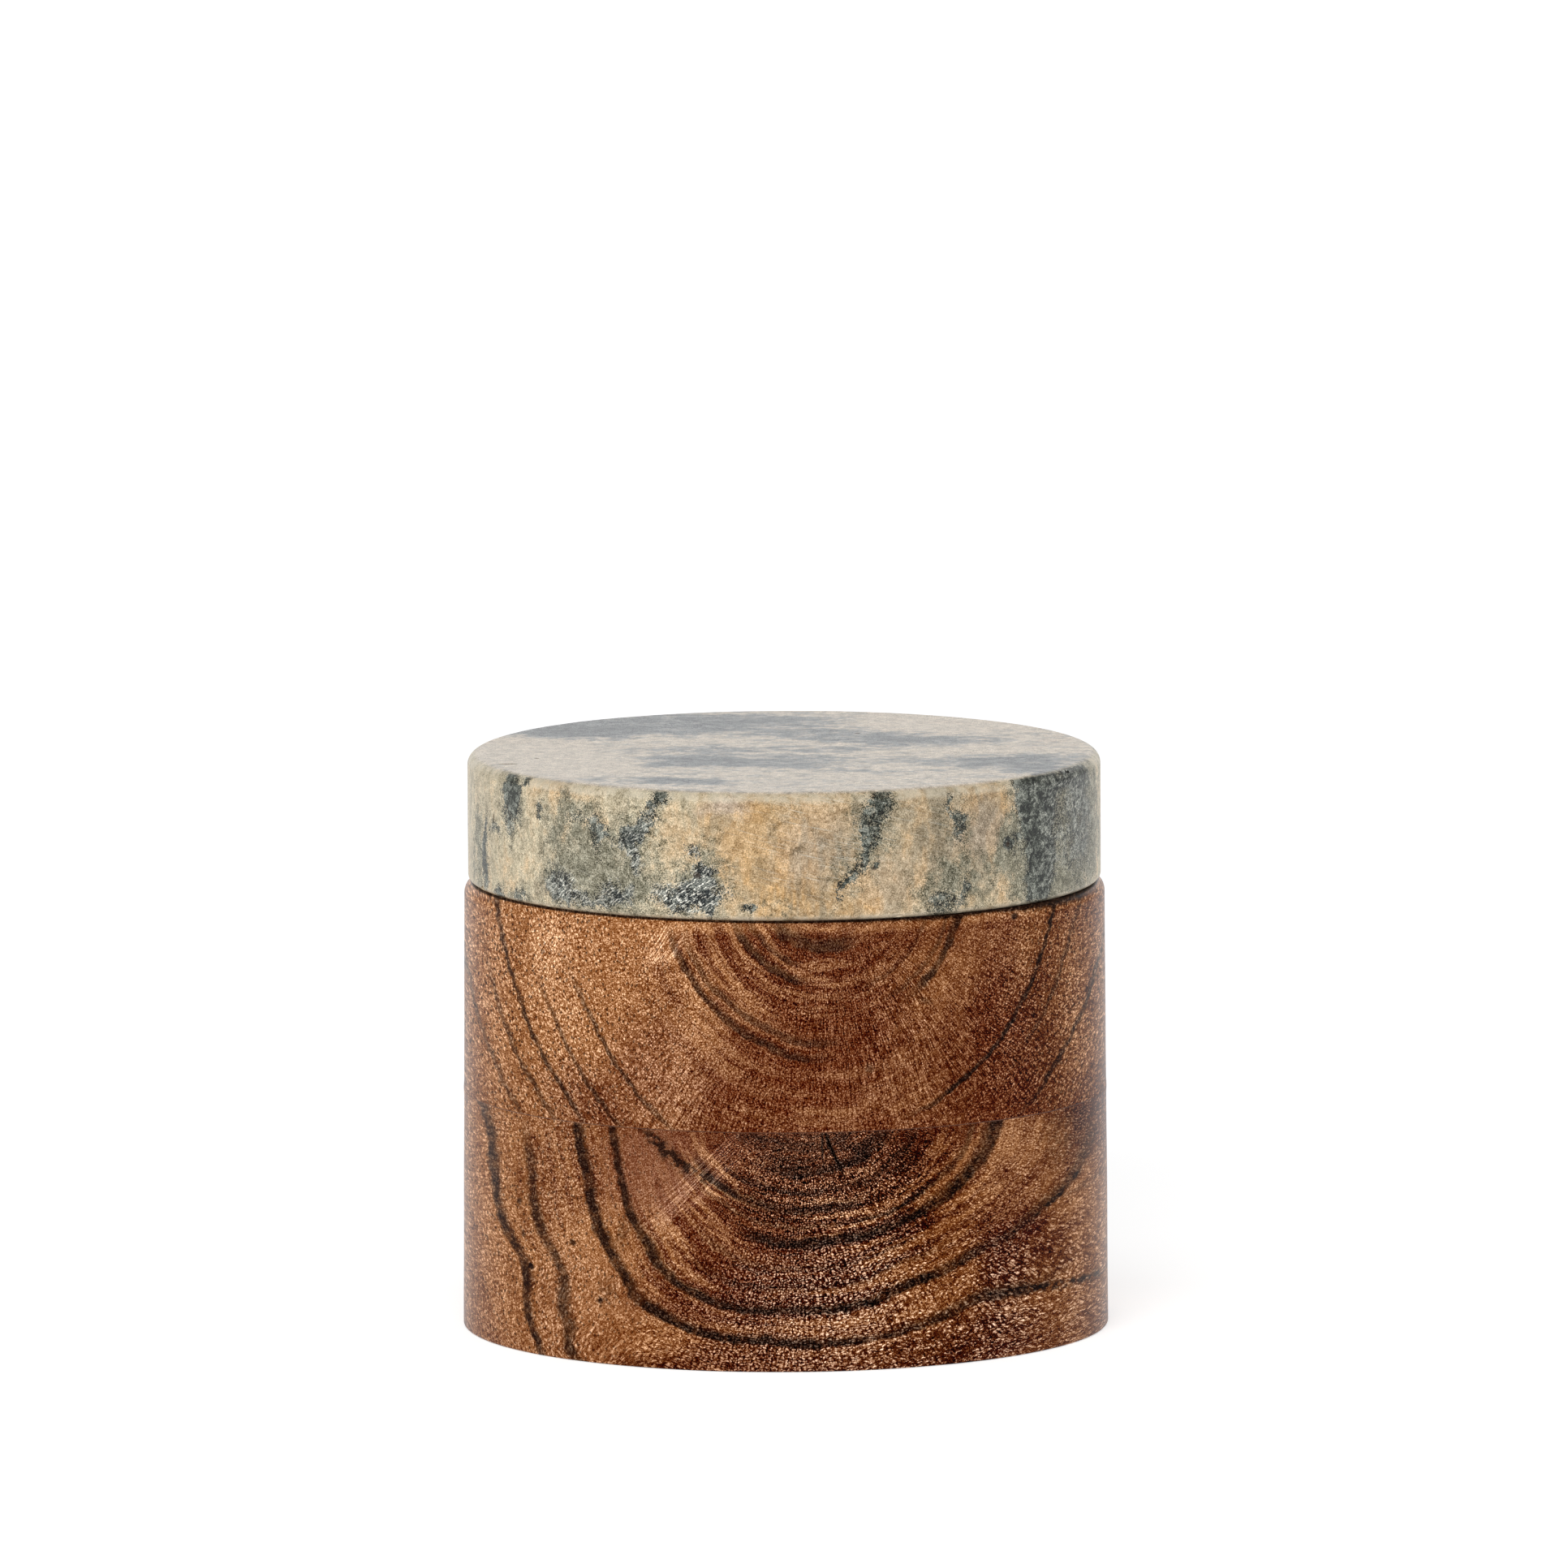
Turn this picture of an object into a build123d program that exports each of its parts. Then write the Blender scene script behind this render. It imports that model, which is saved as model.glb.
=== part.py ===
"""A round wooden storage jar with a heavy stone lid.

The body is turned from two boards glued face to face, with the grain running from front to back,
so that the end grain faces -Y and +Y. The stone disc rests on the rim. A turned wooden plug bonded
under it drops into the mouth, and a lipped silicone ring in the plug's groove closes the gap.

Millimetres, +Z up, origin at the centre of the underside.
"""

from build123d import *
import os

# Body
foot_diameter = 105.0
wall_lean = 0.5
wall_thickness = 9.5
floor_thickness = 10.0
lower_board_thickness = 38.8
upper_board_thickness = 33.95
foot_rounding = 0.4
floor_corner_radius = 4.0
rim_outer_rounding = 2.0
rim_inner_rounding = 0.8

# Film of glue between the boards, wiped back a little from both faces
glue_thickness = 0.15
glue_wiped_back = 0.1

# Stone lid
lid_inset = 0.6
lid_thickness = 20.8
lid_top_rounding = 2.0
lid_under_rounding = 1.0

# Plug under the lid, and the film of adhesive that holds it to the stone
plug_clearance = 1.2
plug_drop = 10.0
plug_lead_chamfer = 1.0
adhesive_thickness = 0.2
adhesive_inset = 1.0

# Groove in the plug, and the ring that lies in it
groove_depth = 2.5
groove_height = 5.0
groove_above_plug_end = 2.5
ring_gap_in_groove = 0.3
ring_band_thickness = 1.4
lip_count = 3
lip_thickness = 0.6
lip_rise = 0.4
lip_gap_to_mouth = 0.3

# Heights and radii that follow from the sizes above
upper_board_start = lower_board_thickness + glue_thickness
rim_height = upper_board_start + upper_board_thickness
foot_radius = foot_diameter / 2
rim_radius = foot_radius - wall_lean
mouth_radius = rim_radius - wall_thickness
lid_radius = rim_radius - lid_inset
plug_radius = mouth_radius - plug_clearance
plug_start = rim_height - plug_drop
groove_start = plug_start + groove_above_plug_end
groove_floor_radius = plug_radius - groove_depth
ring_start = groove_start + ring_gap_in_groove
ring_height = groove_height - 2 * ring_gap_in_groove
ring_inner_radius = groove_floor_radius + ring_gap_in_groove
ring_band_radius = ring_inner_radius + ring_band_thickness
lip_radius = mouth_radius - lip_gap_to_mouth
lip_pitch = (ring_height - lip_thickness - lip_rise) / (lip_count - 1)

os.makedirs("parts", exist_ok=True)


def outer_radius(height):
    """Radius of the body's outside, which leans in evenly from the foot to the rim."""
    return foot_radius - wall_lean * height / rim_height


# Lower board: the bottom half of the body, with the floor left in it
with BuildPart() as lower_board:
    with BuildSketch(Plane.XZ):
        with BuildLine():
            Polyline(
                (0, 0),
                (foot_radius, 0),
                (outer_radius(lower_board_thickness), lower_board_thickness),
                (mouth_radius, lower_board_thickness),
                (mouth_radius, floor_thickness),
                (0, floor_thickness),
                close=True,
            )
        make_face()
    revolve(axis=Axis.Z)
    fillet(lower_board.edges().group_by(Axis.Z)[0], foot_rounding)
    floor_corner = lower_board.edges().filter_by_position(Axis.Z, floor_thickness, floor_thickness)
    fillet(floor_corner, floor_corner_radius)
lower_board.part.label = "lower_board"
export_step(lower_board.part, "parts/lower_board.step")

# Upper board: a ring with the rounded rim that the lid rests on
with BuildPart() as upper_board:
    with BuildSketch(Plane.XZ):
        with BuildLine():
            Polyline(
                (mouth_radius, upper_board_start),
                (outer_radius(upper_board_start), upper_board_start),
                (rim_radius, rim_height),
                (mouth_radius, rim_height),
                close=True,
            )
        make_face()
    revolve(axis=Axis.Z)
    fillet(upper_board.edges().group_by(Axis.Z)[-1].sort_by(SortBy.RADIUS)[-1], rim_outer_rounding)
    fillet(upper_board.edges().group_by(Axis.Z)[-1].sort_by(SortBy.RADIUS)[0], rim_inner_rounding)
upper_board.part.label = "upper_board"
export_step(upper_board.part, "parts/upper_board.step")

# Glue line: the thin film that joins the two boards and shows as a seam all round
with BuildPart() as glue_line:
    with BuildSketch(Plane.XY.offset(lower_board_thickness)):
        Circle(outer_radius(lower_board_thickness) - glue_wiped_back)
        Circle(mouth_radius + glue_wiped_back, mode=Mode.SUBTRACT)
    extrude(amount=glue_thickness)
glue_line.part.label = "glue_line"
export_step(glue_line.part, "parts/glue_line.step")

# Lid stone: a thick disc, eased at both edges, that rests on the rim
with BuildPart() as lid_stone:
    with BuildSketch(Plane.XY.offset(rim_height)):
        Circle(lid_radius)
    extrude(amount=lid_thickness)
    fillet(lid_stone.edges().group_by(Axis.Z)[-1], lid_top_rounding)
    fillet(lid_stone.edges().group_by(Axis.Z)[0], lid_under_rounding)
lid_stone.part.label = "lid_stone"
export_step(lid_stone.part, "parts/lid_stone.step")

# Lid adhesive: the film that bonds the plug to the underside of the stone
with BuildPart() as lid_adhesive:
    with BuildSketch(Plane.XY.offset(rim_height - adhesive_thickness)):
        Circle(plug_radius - adhesive_inset)
    extrude(amount=adhesive_thickness)
lid_adhesive.part.label = "lid_adhesive"
export_step(lid_adhesive.part, "parts/lid_adhesive.step")

# Lid plug: a turned disc that centres the lid in the mouth, grooved for the sealing ring
with BuildPart() as lid_plug:
    with BuildSketch(Plane.XY.offset(plug_start)):
        Circle(plug_radius)
    extrude(amount=plug_drop - adhesive_thickness)
    chamfer(lid_plug.edges().group_by(Axis.Z)[0], plug_lead_chamfer)
    with BuildSketch(Plane.XY.offset(groove_start)):
        Circle(plug_radius)
        Circle(groove_floor_radius, mode=Mode.SUBTRACT)
    extrude(amount=groove_height, mode=Mode.SUBTRACT)
lid_plug.part.label = "lid_plug"
export_step(lid_plug.part, "parts/lid_plug.step")

# Sealing ring: a band in the groove, with thin lips that slope up and out to the mouth's wall
with BuildPart() as sealing_ring:
    with BuildSketch(Plane.XZ):
        with Locations((ring_inner_radius, ring_start)):
            Rectangle(ring_band_thickness, ring_height, align=(Align.MIN, Align.MIN))
        for lip in range(lip_count):
            lip_root = ring_start + lip * lip_pitch
            with BuildLine():
                Polyline(
                    (ring_inner_radius, lip_root),
                    (ring_band_radius, lip_root),
                    (lip_radius, lip_root + lip_rise),
                    (lip_radius, lip_root + lip_rise + lip_thickness),
                    (ring_band_radius, lip_root + lip_thickness),
                    (ring_inner_radius, lip_root + lip_thickness),
                    close=True,
                )
            make_face()
    revolve(axis=Axis.Z)
sealing_ring.part.label = "sealing_ring"
export_step(sealing_ring.part, "parts/sealing_ring.step")
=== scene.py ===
from math import asin, atan, cos, hypot, pi, radians, sin
import bmesh
import bpy
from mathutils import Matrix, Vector


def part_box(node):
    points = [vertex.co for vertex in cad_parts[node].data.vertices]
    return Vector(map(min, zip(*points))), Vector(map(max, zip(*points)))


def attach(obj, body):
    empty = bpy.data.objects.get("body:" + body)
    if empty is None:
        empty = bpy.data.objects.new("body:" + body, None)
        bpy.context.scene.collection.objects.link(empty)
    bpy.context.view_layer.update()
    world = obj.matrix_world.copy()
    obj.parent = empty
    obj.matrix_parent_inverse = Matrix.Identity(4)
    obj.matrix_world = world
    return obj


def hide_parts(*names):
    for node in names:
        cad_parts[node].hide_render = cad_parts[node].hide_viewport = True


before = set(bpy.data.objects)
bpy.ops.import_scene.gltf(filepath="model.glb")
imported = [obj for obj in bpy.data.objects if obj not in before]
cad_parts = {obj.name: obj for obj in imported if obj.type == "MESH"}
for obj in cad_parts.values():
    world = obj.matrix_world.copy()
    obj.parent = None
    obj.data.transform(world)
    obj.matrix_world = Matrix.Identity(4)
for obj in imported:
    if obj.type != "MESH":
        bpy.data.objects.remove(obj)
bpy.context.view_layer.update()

# Camera: the photograph's view, 3.6 m from the jar through a long lens, a little above the lid.
# The jar stands low in the square frame, so the lens points above its middle.
camera_distance = 3.6004
camera_above = radians(8.3774)
camera_roll = radians(-0.2206)
camera_lens = 508.7
sensor_width = 36.0
jar_middle = 0.0475
frame_pixels = 1932
middle_below_centre = 305.8

bpy.ops.object.select_all(action="DESELECT")
bpy.ops.object.camera_add()
camera = bpy.context.object
camera.name = "camera"
camera.data.lens = camera_lens
camera.data.sensor_width = sensor_width
camera.data.clip_start = 0.1
camera.data.clip_end = 200.0
camera.location.y = -camera_distance * cos(camera_above)
camera.location.z = jar_middle + camera_distance * sin(camera_above)
raised = atan(middle_below_centre * sensor_width / (camera_lens * frame_pixels))
camera.rotation_euler.x = pi / 2 - camera_above + raised
camera.rotation_euler.rotate_axis("Z", camera_roll)
bpy.context.scene.camera = camera
bpy.context.scene.view_settings.view_transform = "Standard"

# Studio: white sheets hang left, right and behind, and a broad lamp stands high in front.
# The sheets give the pale shine on the jar's two sides and on the lid's flat top.
studio_lamps = {
    # name: (place, point it faces, width, height, watts)
    "left_sheet": ((-1.6, -0.1, 0.55), (0.0, 0.0, 0.05), 1.2, 1.1, 7.0),
    "right_sheet": ((1.6, -0.1, 0.55), (0.0, 0.0, 0.05), 1.2, 1.1, 7.0),
    "high_lamp": ((-0.35, -2.2, 1.1), (0.0, 0.0, 0.05), 1.6, 1.0, 40.0),
    "back_sheet": ((0.0, 2.6, 0.7), (0.0, 0.0, 0.08), 3.4, 1.4, 15.0),
}
for name, (place, faces, width, height, watts) in studio_lamps.items():
    bpy.ops.object.light_add(type="AREA", location=place)
    lamp = bpy.context.object
    lamp.name = name
    lamp.data.shape = "RECTANGLE"
    lamp.data.size = width
    lamp.data.size_y = height
    lamp.data.energy = watts
    lamp.rotation_euler = (Vector(faces) - Vector(place)).to_track_quat("-Z", "Y").to_euler()
    lamp.visible_camera = False
    # Only the sheets are mirrored, or the high lamp would wash out the lid seen from behind
    lamp.visible_glossy = name.endswith("sheet")

# Paper sheet: the wide white sheet the jar stands on. It glows a little in the camera's view and in
# mirror reflections, so that it reads as the photograph's white, and still takes the jar's soft shadow.
# Past the shadow, distances in millimetres, it glows enough to be plain white.
paper_size = 60.0
paper_glow = 0.55
shadow_ends = 450.0
plain_white_from = 2000.0
far_glow = 0.60


class Recipe:
    """A finish being mixed: each call adds one node to the tree and gives back what comes out of it."""

    def __init__(self, tree):
        self.tree = tree

    def fill(self, node, sockets):
        """Links or sets those inputs of a node that are named or numbered."""
        for socket, value in sockets.items():
            if isinstance(value, bpy.types.NodeSocket):
                self.tree.links.new(value, node.inputs[socket])
            else:
                node.inputs[socket].default_value = value

    def step(self, kind, sockets, **settings):
        """Adds a node, sets its options and fills its inputs."""
        node = self.tree.nodes.new("ShaderNode" + kind)
        for name, setting in settings.items():
            setattr(node, name, setting)
        self.fill(node, sockets)
        return node

    def calc(self, operation, *values):
        """Arithmetic on one, two or three values."""
        return self.step("Math", dict(enumerate(values)), operation=operation).outputs[0]

    def total(self, values, operation="ADD"):
        """The sum of a list of values, or what another operation makes of them."""
        result = values[0]
        for value in values[1:]:
            result = self.calc(operation, result, value)
        return result

    def product(self, *values):
        """Values multiplied together."""
        return self.total(values, "MULTIPLY")

    def swing(self, value, amount, middle=0.5):
        """A random value made to swing to both sides of zero."""
        return self.product(self.calc("SUBTRACT", value, middle), amount)

    def vector(self, operation, *values):
        """Arithmetic on vectors."""
        return self.step("VectorMath", dict(enumerate(values)), operation=operation).outputs[0]

    def scaled(self, vector, amount):
        """A vector made longer or shorter."""
        return self.step("VectorMath", {0: vector, "Scale": amount}, operation="SCALE").outputs[0]

    def length(self, vector):
        """How long a vector is."""
        return self.step("VectorMath", {0: vector}, operation="LENGTH").outputs["Value"]

    def from_axis(self, across, up):
        """How far a place is from an axis, from its two distances at right angles."""
        squares = [self.product(side, side) for side in (across, up)]
        return self.calc("SQRT", self.total(squares))

    def angle_round(self, across, up):
        """How far round an axis a place is, in radians from straight down, or from the front."""
        return self.calc("ARCTAN2", across, self.product(up, -1.0))

    def split(self, vector):
        """The x, y and z of a place."""
        return self.step("SeparateXYZ", {0: vector}).outputs

    def join(self, x, y, z):
        """A place from its x, y and z."""
        return self.step("CombineXYZ", {0: x, 1: y, 2: z}).outputs[0]

    def rise(self, value, start, end, low=0.0, high=1.0):
        """Eases from low to high while the value goes from start to end."""
        sockets = {0: value, 1: start, 2: end, 3: low, 4: high}
        return self.step("MapRange", sockets, interpolation_type="SMOOTHSTEP").outputs[0]

    def noise(self, place, size, detail=2.0, roughness=0.5, out=0):
        """Soft random values whose blotches are about one size across."""
        sockets = {"Vector": place, "Scale": 1.0 / size, "Detail": detail, "Roughness": roughness}
        return self.step("TexNoise", sockets).outputs[out]

    def stray(self, place, size, detail=2.0, roughness=0.5):
        """Random shifts along all three axes."""
        shift = self.noise(place, size, detail, roughness, out=1)
        return self.vector("SUBTRACT", shift, (0.5, 0.5, 0.5))

    def cells(self, place, size, randomness=1.0, out="Distance"):
        """Scattered cells about one size across: the distance to the nearest one, or its colour."""
        sockets = {"Vector": place, "Scale": 1.0 / size, "Randomness": randomness}
        return self.step("TexVoronoi", sockets).outputs[out]

    def turned(self, place, turn):
        """The place measured along axes that are turned by three angles in degrees."""
        sockets = {"Vector": place, "Rotation": tuple(radians(angle) for angle in turn)}
        return self.step("VectorRotate", sockets, rotation_type="EULER_XYZ", invert=True).outputs[0]

    def patch(self, place, middle, reach, turn=(0.0, 0.0, 0.0), edge=0.5):
        """A soft spot: 1 at its middle, 0 past its reach along three axes of its own."""
        inside = self.vector("SUBTRACT", place, middle)
        if any(turn):
            inside = self.turned(inside, turn)
        away = self.length(self.vector("DIVIDE", inside, reach))
        return self.rise(away, 1.0 + edge, 1.0 - edge)

    def layer(self, amount, under, over):
        """One colour laid over another."""
        return self.step("Mix", {0: amount, 6: under, 7: over}, data_type="RGBA").outputs[2]

    def lift(self, base, amount, tint=(1.0, 0.97, 0.90)):
        """A colour made lighter or darker by even steps, as the eye sees them."""
        seen = self.step("Gamma", {"Color": base, "Gamma": 1 / 2.2}).outputs[0]
        seen = self.vector("MAXIMUM", self.vector("ADD", seen, self.scaled(tint, amount)), (0.0, 0.0, 0.0))
        return self.step("Gamma", {"Color": seen, "Gamma": 2.2}).outputs[0]

    def effect(self, group, sockets):
        """A shared effect, with this finish's own values."""
        return self.step("Group", sockets, node_tree=group).outputs

    def relief(self, height, depth, strength):
        """A surface on which a height stands out, up to a depth in metres."""
        return self.step("Bump", {"Height": height, "Distance": depth, "Strength": strength}).outputs[0]


def colour(red, green, blue):
    """A colour chosen on the screen, 0 to 255, as the light that a shader works with."""
    light = []
    for part in (red / 255, green / 255, blue / 255):
        light.append(part / 12.92 if part < 0.0404 else ((part + 0.055) / 1.055) ** 2.4)
    return (*light, 1.0)


def new_finish(name):
    """A material with its shader, the recipe that fills it, and the place on the piece in millimetres."""
    material = bpy.data.materials.new(name)
    material.use_nodes = True
    recipe = Recipe(material.node_tree)
    place = recipe.scaled(recipe.step("TexCoord", {}).outputs["Object"], 1000.0)
    return material, material.node_tree.nodes["Principled BSDF"], recipe, place


def shared_effect(name, inputs, outputs):
    """An empty shader group with named sockets, and the recipe that fills it."""
    group = bpy.data.node_groups.new(name, "ShaderNodeTree")
    for way, sockets in (("INPUT", inputs), ("OUTPUT", outputs)):
        for socket, kind in sockets.items():
            group.interface.new_socket(socket, in_out=way, socket_type="NodeSocket" + kind)
    given = group.nodes.new("NodeGroupInput").outputs
    return group, Recipe(group), given, group.nodes.new("NodeGroupOutput")


bpy.ops.object.select_all(action="DESELECT")
bpy.ops.mesh.primitive_plane_add(size=paper_size)
paper = bpy.context.object
paper.name = "paper_sheet"
material, shader, recipe, place = new_finish("white_paper")
seen = recipe.step("LightPath", {}).outputs
glow = recipe.calc("MAXIMUM", seen["Is Camera Ray"], seen["Is Glossy Ray"])
glow = recipe.calc("MAXIMUM", glow, seen["Is Transmission Ray"])
glow = recipe.product(glow, paper_glow)
far_off = recipe.rise(recipe.length(place), shadow_ends, plain_white_from, 0.0, far_glow)
far_off = recipe.product(far_off, seen["Is Camera Ray"])
recipe.fill(shader, {
    "Base Color": (0.80, 0.80, 0.80, 1.0), "Roughness": 0.9, "Specular IOR Level": 0.0,
    "Emission Color": (1.0, 1.0, 1.0, 1.0), "Emission Strength": recipe.calc("ADD", glow, far_off),
})
paper.data.materials.append(material)

# Room: plain walls far off, which light the jar dimly from every side and look white to the camera.
room_light = 0.30

room = bpy.data.worlds.new("studio_room")
room.use_nodes = True
bpy.context.scene.world = room
recipe = Recipe(room.node_tree)
in_view = recipe.step("LightPath", {}).outputs["Is Camera Ray"]
recipe.fill(room.node_tree.nodes["Background"], {
    "Color": (1.0, 1.0, 1.0, 1.0),
    "Strength": recipe.calc("MULTIPLY_ADD", in_view, 1.0 - room_light, room_light),
})

# Lower board: the bottom half of the body, turned from one acacia board with the grain running from
# front to back. It is hollowed from above and keeps a thick floor. The heart of the tree lay just
# above it, so the rings hang below the joint like the rings of a bowl.
foot_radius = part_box("lower_board")[1].x
rim_radius = 0.0520
joint_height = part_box("lower_board")[1].z
rim_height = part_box("upper_board")[1].z
joint_radius = foot_radius + (rim_radius - foot_radius) * joint_height / rim_height
mouth_radius = 0.0425
floor_height = 0.0100
foot_rounding = 0.0004
floor_corner = 0.0040
sides = 288
ring_step = 0.0012
turning_waver = 0.00010
waver_length = 0.018
smooth_below = radians(35)
pick_slack = 0.00002


def round_blank(name, radius, low, high):
    """A round blank between two heights, ready to be shaped in edit mode."""
    bpy.ops.object.select_all(action="DESELECT")
    middle = (0.0, 0.0, (low + high) / 2)
    bpy.ops.mesh.primitive_cylinder_add(vertices=sides, radius=radius, depth=high - low, location=middle)
    piece = bpy.context.object
    piece.name = piece.data.name = name
    bpy.ops.object.transform_apply(location=True)
    bpy.ops.object.mode_set(mode="EDIT")
    return piece


def pick(piece, kind, wanted):
    """Selects the faces or edges whose corners all pass a test of radius and height."""
    bpy.ops.mesh.select_mode(type=kind)
    bpy.ops.mesh.select_all(action="DESELECT")
    shape = bmesh.from_edit_mesh(piece.data)
    for part in shape.faces if kind == "FACE" else shape.edges:
        part.select_set(all(wanted(hypot(v.co.x, v.co.y), v.co.z) for v in part.verts))
    bmesh.update_edit_mesh(piece.data)


def near(value, target):
    """True within a hundredth of a millimetre."""
    return abs(value - target) < 0.00001


def ease_ring(piece, radius, height, size, segments):
    """Rounds the ring of edges at a radius and height."""
    pick(piece, "EDGE", lambda r, z: near(r, radius) and near(z, height))
    bpy.ops.mesh.bevel(offset=size, segments=segments, affect="EDGES")


def sink(depth):
    """Pushes the selected face straight down, with a new wall round it."""
    bpy.ops.mesh.extrude_region_move(TRANSFORM_OT_translate={"value": (0.0, 0.0, -depth)})


def ring_cap(piece, height, radius):
    """Divides a flat round face into narrow rings, down to a small one at the middle."""
    pick(piece, "FACE", lambda r, z: near(z, height) and r < radius + pick_slack)
    while radius > 2 * ring_step:
        bpy.ops.mesh.inset(thickness=ring_step)
        radius -= ring_step


def ring_walls(piece, low, high):
    """Cuts level rings round the upright walls between two heights."""
    count = round((high - low) / ring_step)
    for ring in range(1, count):
        bpy.ops.mesh.select_all(action="SELECT")
        height = low + (high - low) * ring / count
        bpy.ops.mesh.bisect(plane_co=(0.0, 0.0, height), plane_no=(0.0, 0.0, 1.0))


def cut_hollows(piece, hollows):
    """Cuts small lens-shaped hollows, such as pits, chips and cracks, all in one cut."""
    bpy.ops.object.select_all(action="DESELECT")
    lenses = []
    for middle, half_size, turn in hollows:
        turn = tuple(radians(angle) for angle in turn)
        bpy.ops.mesh.primitive_uv_sphere_add(segments=20, ring_count=12, radius=1.0, location=middle,
                                             rotation=turn, scale=half_size)
        lenses.append(bpy.context.object)
    if len(lenses) > 1:
        for lens in lenses:
            lens.select_set(True)
        bpy.ops.object.join()
    cutter = bpy.context.object
    bpy.context.view_layer.objects.active = piece
    modifier = piece.modifiers.new("hollows", "BOOLEAN")
    modifier.operation = "DIFFERENCE"
    modifier.object = cutter
    bpy.ops.object.modifier_apply(modifier=modifier.name)
    bpy.data.objects.remove(cutter)


def hand_finish(piece, waver, length, true_edge, hollows=()):
    """Leaves edit mode, lets the surface waver a little inwards as hand work does, and smooths it."""
    bpy.ops.object.mode_set(mode="OBJECT")
    free = [corner.index for corner in piece.data.vertices if not near(corner.co.z, true_edge)]
    piece.vertex_groups.new(name="free").add(free, 1.0, "REPLACE")
    texture = bpy.data.textures.new(piece.name + "_waver", "CLOUDS")
    texture.noise_scale = length
    texture.noise_depth = 1
    modifier = piece.modifiers.new("waver", "DISPLACE")
    modifier.texture = texture
    modifier.texture_coords = "LOCAL"
    modifier.mid_level = 1.0
    modifier.strength = waver
    modifier.vertex_group = "free"
    bpy.ops.object.modifier_apply(modifier=modifier.name)
    if hollows:
        cut_hollows(piece, hollows)
    piece.select_set(True)
    bpy.ops.object.shade_smooth_by_angle(angle=smooth_below)


lower = round_blank("lower_board_turned", foot_radius, 0.0, joint_height)
pick(lower, "FACE", lambda r, z: near(z, joint_height))
bpy.ops.transform.resize(value=(joint_radius / foot_radius, joint_radius / foot_radius, 1.0))
bpy.ops.mesh.inset(thickness=joint_radius - mouth_radius)
sink(joint_height - floor_height)
ease_ring(lower, foot_radius, 0.0, foot_rounding, 3)
ease_ring(lower, mouth_radius, floor_height, floor_corner, 8)
ring_cap(lower, floor_height, mouth_radius - floor_corner)
ring_cap(lower, 0.0, foot_radius - foot_rounding)
ring_walls(lower, foot_rounding, joint_height)
# Each hollow has its middle, its half size and its turn
drying_crack = ((0.0077, -0.0517, 0.0355), (0.0039, 0.0012, 0.00014), (0, 67, 0))
hand_finish(lower, turning_waver, waver_length, joint_height, [drying_crack])

# The tree rings, measured from the heart of the tree, which runs from front to back.
# Behind the middle of the jar the heart drifts a little, so front and back aren't mirror images.
tree_rings, recipe, given, result = shared_effect(
    "tree_rings",
    {"Place": "Vector", "Heart": "Vector", "Left near": "Float", "Left far": "Float", "Right": "Float",
     "Upright": "Float", "Waver": "Float"},
    {"Distance": "Float", "Angle": "Float", "Ray": "Float"},
)
x, y, z = recipe.split(given["Place"])
behind = recipe.calc("MAXIMUM", recipe.calc("ADD", y, 8.0), 0.0)
drifted = recipe.join(recipe.calc("MULTIPLY_ADD", behind, 0.07, x), y,
                      recipe.calc("MULTIPLY_ADD", behind, -0.04, z))
long_grain = recipe.vector("MULTIPLY", drifted, (1.0, 0.12, 1.0))
broad = recipe.scaled(recipe.stray(long_grain, 11.0, 1.0), given["Waver"])
ragged = recipe.vector("MULTIPLY", recipe.stray(long_grain, 1.6), (1.2, 0.0, 1.2))
from_heart = recipe.vector("SUBTRACT", drifted, given["Heart"])
from_heart = recipe.vector("ADD", from_heart, broad)
across, _, up = recipe.split(from_heart)
ray = recipe.angle_round(across, up)
across, _, up = recipe.split(recipe.vector("ADD", from_heart, ragged))
# The rings are spaced differently on the two sides of the heart, and near it or far out
left = recipe.rise(recipe.from_axis(across, up), 8.0, 26.0, given["Left near"], given["Left far"])
side = recipe.rise(across, -1.0, 1.0)
width = recipe.total([recipe.product(left, recipe.calc("SUBTRACT", 1.0, side)),
                      recipe.product(given["Right"], side)])
across = recipe.calc("DIVIDE", across, width)
up = recipe.product(up, given["Upright"])
distance = recipe.from_axis(across, up)
recipe.fill(result, {"Distance": distance, "Angle": recipe.angle_round(across, up), "Ray": ray})

# Acacia figure: what is between the dark rings. The pores and the pale flecks of soft tissue run the
# length of the board, so they show as dots on the end grain and as fine lines on the sides. Thin pale
# rays fan out from the heart.
acacia_figure, recipe, given, result = shared_effect(
    "acacia_figure",
    {"Place": "Vector", "Distance": "Float", "Angle": "Float", "Ray": "Float", "Tone": "Float",
     "Red": "Float", "Pale": "Float", "Dark ring": "Float", "Fine rings": "Float", "Flecks": "Float",
     "Rays": "Float", "Rows": "Float", "Pores": "Float", "Scratches": "Float"},
    {"Color": "Color", "Roughness": "Float", "Height": "Float"},
)
tan_wood = colour(192, 138, 95)
brown_wood = colour(106, 51, 21)
deep_wood = colour(56, 18, 5)
red_wood = colour(146, 96, 70)
chalky_wood = colour(196, 154, 124)
ring_ink = colour(38, 20, 13)
pore_ink = colour(38, 17, 8)
fibres = recipe.vector("MULTIPLY", given["Place"], (1.0, 0.07, 1.0))
distance, angle = given["Distance"], given["Angle"]
along = recipe.split(fibres)[1]


def counted(steps, turns):
    """A place counted in steps out from the heart and in turns round it, and measured along the board."""
    out = recipe.product(distance, steps)
    return recipe.join(out, along, recipe.product(angle, turns))


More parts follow.
